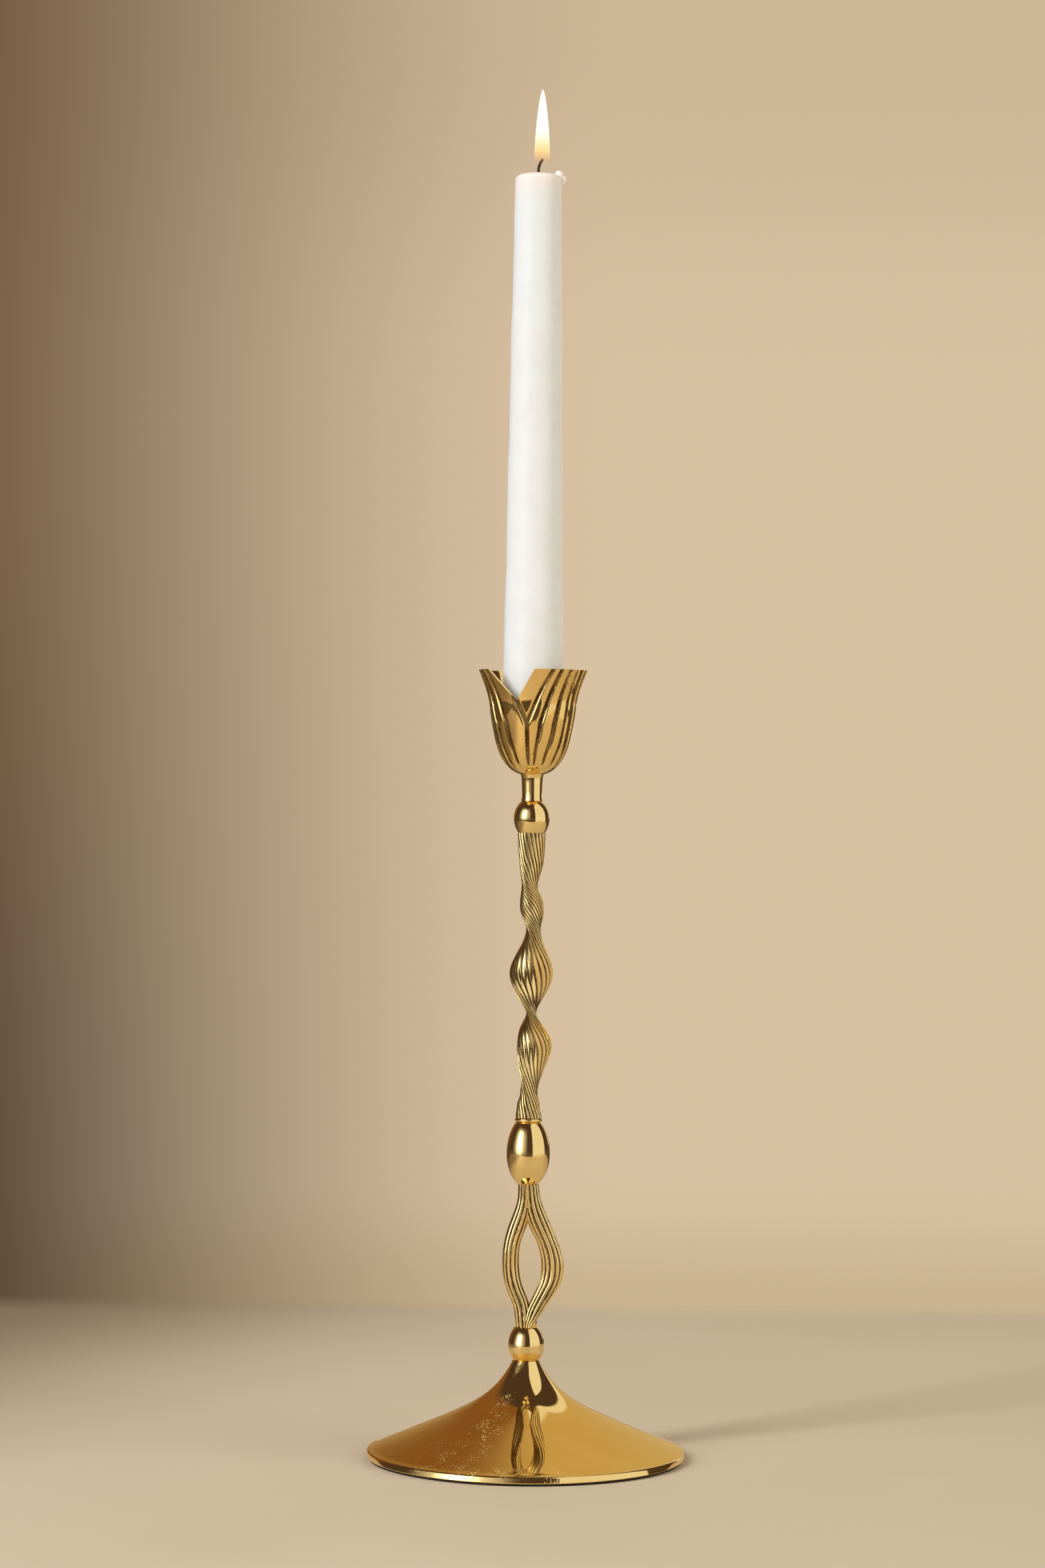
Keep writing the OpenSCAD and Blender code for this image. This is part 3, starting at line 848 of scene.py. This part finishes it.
def make_wick():
    low = span("candle_wick")[0]
    plait = 1.07
    tip = 0.6
    piece = start_ring("charred_wick_braid", 24, (0, 0, low), 0.55 * MM)
    bpy.ops.object.mode_set(mode="EDIT")
    bpy.ops.mesh.select_all(action="SELECT")
    plaits = 24
    straight_top = low + 21.5 * MM
    rise = (straight_top - low) / plaits
    z = low
    for i in range(plaits):
        extrude_to((0, 0, rise))
        z += rise
        swell = plait if i % 2 else 1 / plait
        resize(swell, swell, (0, 0, z))
    bend = math.radians(40)
    bend_r = 7 * MM
    parts = 12
    x = 0
    for i in range(parts):
        a = bend * (i + 0.5) / parts
        step_len = bend_r * bend / parts
        dx = math.sin(a) * step_len
        dz = math.cos(a) * step_len
        extrude_to((dx, 0, dz))
        x += dx
        z += dz
        bpy.ops.transform.rotate(value=-bend / parts, orient_axis="Y", center_override=(x, 0, z))
        swell = plait if i % 2 else 1 / plait
        if i == parts - 1:
            swell = tip
        bpy.ops.transform.resize(value=(swell, swell, swell), center_override=(x, 0, z))
    close_ends()
    finish_mesh(60)
    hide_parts("candle_wick")
    return piece


def make_flame():
    """The flame above the wick, which isn't part of the candlestick."""
    rows = [(0, 2.3), (0.06, 2.75), (0.14, 2.9), (0.28, 2.8), (0.45, 2.5), (0.6, 2.1), (0.75, 1.6),
            (0.87, 1.1), (0.95, 0.6), (0.985, 0.25), (1, 0.04)]
    height = 29 * MM
    steps = 40
    outline = []
    for i in range(steps + 1):
        t = i / steps
        outline.append((eased(rows, t, True) * MM, FLAME_FOOT + height * t))
    piece = turned("flame", outline, 48)
    lean_right = 1.3 * MM
    thin = 0.8
    for v in piece.data.vertices:
        v.co.x += lean_right
        v.co.y *= thin
    piece.visible_shadow = False
    return piece


# ---------------------------------------------------------------- room, light and camera

LEAN = math.radians(-0.6)
DARK_ROOM = (0.075, 0.045, 0.03)
TABLE_WIDTH = 2.6
TABLE_FRONT = -0.8
TABLE_BACK = 0.45
EYE_HEIGHT = 0.2528
EYE_DISTANCE = 1.448
EYE_SIDE = -0.0036
LENS = 88.65


def make_table():
    deselect()
    bpy.ops.mesh.primitive_plane_add(size=1, location=(0, 0, 0))
    table = bpy.context.object
    table.name = "table"
    for v in table.data.vertices:
        v.co.x *= TABLE_WIDTH
        v.co.y = TABLE_BACK if v.co.y > 0 else TABLE_FRONT
    table.data.materials.append(table_top())
    return table


def make_room():
    """The room: a beige wall behind, darker to the left, and for reflections also a dark room in
    front, a pale corner of the wall, a soft glow round the key light and a pale panel at the
    right that slants down to a point."""
    world = bpy.data.worlds.new("room")
    bpy.context.scene.world = world
    world.use_nodes = True
    paint = Paint(world.node_tree)
    place = paint.signal("ShaderNodeTexCoord", output=0)
    x, y, z = paint.split(place)
    degrees = 180 / math.pi
    round_front = x.maths("ARCTAN2", x, y * -1) * degrees
    round_back = x.maths("ARCTAN2", x, y) * degrees
    rise = x.maths("ARCSINE", z, 0) * degrees
    wall = paint.blend(paint.between(round_back, -20, 8), (0.24, 0.105, 0.03), (0.61, 0.44, 0.19))
    corner = x.maths("MAXIMUM", paint.between(round_back, 27, 30), paint.between(rise, 57, 62))
    wall = paint.blend(corner * paint.between(round_back, 3, 7), wall, (0.86, 0.80, 0.66))
    behind = (paint.between(y - z * 0.3, -0.03, 0.03) * paint.between(round_back, 40, 36)
              * paint.between(round_back, -60, -34))
    studio = paint.blend(behind, DARK_ROOM, wall)
    studio = paint.blend(paint.between(z, 0, -0.02), studio, (0.10, 0.07, 0.045))
    glow = (paint.between(round_front, -95, -55) * paint.between(round_front, 0, -42)
            * paint.between(rise, -12, 6) * paint.between(rise, 50, 24))
    studio = paint.blend(glow, studio, (1.1, 1.05, 0.98))
    lamp = (paint.between(round_front, -72, -54) * paint.between(round_front, -30, -46)
            * paint.between(rise, -8, 6) * paint.between(rise, 42, 26))
    studio = paint.blend(lamp, studio, (3.8, 3.75, 3.6))
    panel = (paint.between(round_front, 23, 25) * paint.between(round_front, 100, 97)
             * paint.between(rise, -24, -20) * paint.between(z - x * 3.7, 0.03, -0.03))
    studio = paint.blend(panel, studio, (0.88, 0.84, 0.76))
    shade = paint.between(round_back, -10, 1.5) + paint.between(round_back, -14, -45)
    dim = paint.blend(paint.between(z, -0.125, 0.1), (0.06, 0.025, 0.01), (0.15, 0.08, 0.035))
    lit = paint.blend(paint.between(z, 0.1, 0.19), (0.69, 0.535, 0.36), (0.61, 0.465, 0.305))
    lit = paint.blend(paint.between(z, -0.1, -0.132), lit, (0.60, 0.455, 0.28))
    seen = paint.blend(shade, dim, lit)
    camera_ray = paint.signal("ShaderNodeLightPath", output=0)
    colour = paint.blend(camera_ray, studio, seen)
    light = paint.node("ShaderNodeBackground", {}, {"Color": colour, "Strength": 1})
    paint.node("ShaderNodeOutputWorld", {}, {"Surface": Signal(paint, light.outputs[0])})


def soft_light(name, azimuth, elevation, distance, size, watts, colour):
    a, e = math.radians(azimuth), math.radians(elevation)
    target = Vector((0, 0, 0.2))
    away = Vector((math.sin(a) * math.cos(e), -math.cos(a) * math.cos(e), math.sin(e)))
    data = bpy.data.lights.new(name, "AREA")
    data.shape = "RECTANGLE"
    data.size, data.size_y = size
    data.energy = watts
    data.color = colour
    light = bpy.data.objects.new(name, data)
    light.location = target + away * distance
    light.rotation_euler = away.to_track_quat("Z", "Y").to_euler()
    bpy.context.collection.objects.link(light)
    return light


def make_camera():
    data = bpy.data.cameras.new("camera")
    data.sensor_width = 36
    data.lens = LENS
    camera = bpy.data.objects.new("camera", data)
    camera.location = (EYE_SIDE, -EYE_DISTANCE, EYE_HEIGHT)
    camera.rotation_euler = (math.radians(90), LEAN, 0)
    bpy.context.collection.objects.link(camera)
    bpy.context.scene.camera = camera


# ---------------------------------------------------------------- assembly


def dress(pieces, material, body="candlestick"):
    for piece in pieces:
        piece.data.materials.clear()
        piece.data.materials.append(material)
        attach(piece, body)


make_camera()
make_room()
make_table()
for light in (
    soft_light("key_softbox", azimuth=-50, elevation=29, distance=2.5, size=(0.5, 1.8),
               watts=58, colour=(1, 1, 1)),
    soft_light("fill_right", azimuth=66, elevation=12, distance=2.2, size=(1.6, 1.6),
               watts=27, colour=(1, 0.9, 0.7)),
):
    light.visible_glossy = False

polished = polished_brass()
dress([make_base()], cast_brass())
dress([
    make_bead("ball_knop", "lower_knop", middle_share=0.4, low_r=4.9 * MM,
              high_r=4.1 * MM, hole=SCREW_HOLE),
    make_bead("egg_shaped_knop", "egg_knop", middle_share=0.49, low_r=3.7 * MM,
              high_r=4.55 * MM, hole=STUD_HOLE),
    make_bead("cup_ball_knop", "upper_knop", middle_share=0.46, low_r=4.9 * MM,
              high_r=3.65 * MM, hole=STUD_HOLE),
    make_collar(), make_neck(), make_socket(),
], polished)
reeds = grooved_brass("reeded_brass", GOLD, 0.42, GROOVE_BROWN)
dress([
    make_strand("left_strand", "loop_left_strand", LEFT_STRAND, reeds=10, forward=-1 * MM),
    make_strand("right_strand", "loop_right_strand", RIGHT_STRAND, reeds=12,
                forward=-1.9 * MM),
    make_twist(),
], reeds)
dress(make_loop_ends(), polished)
petals = grooved_brass("petal_brass", PETAL_GOLD, 0.5, PETAL_BROWN)
dress([make_cup()], petals)
dress([make_candle()], wax(), "candle")
dress([make_wick()], charred_wick(), "candle")
flame = make_flame()
flame.data.materials.append(flame_light())
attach(flame, "candle")

steel_finish = steel()
for node in ("base_washer", "lock_washer", "base_screw", "egg_stud", "cup_screw"):
    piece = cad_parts[node]
    piece.data.materials.clear()
    piece.data.materials.append(steel_finish)
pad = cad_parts["base_felt"]
pad.data.materials.clear()
pad.data.materials.append(felt())

bpy.context.scene.view_settings.view_transform = "Standard"
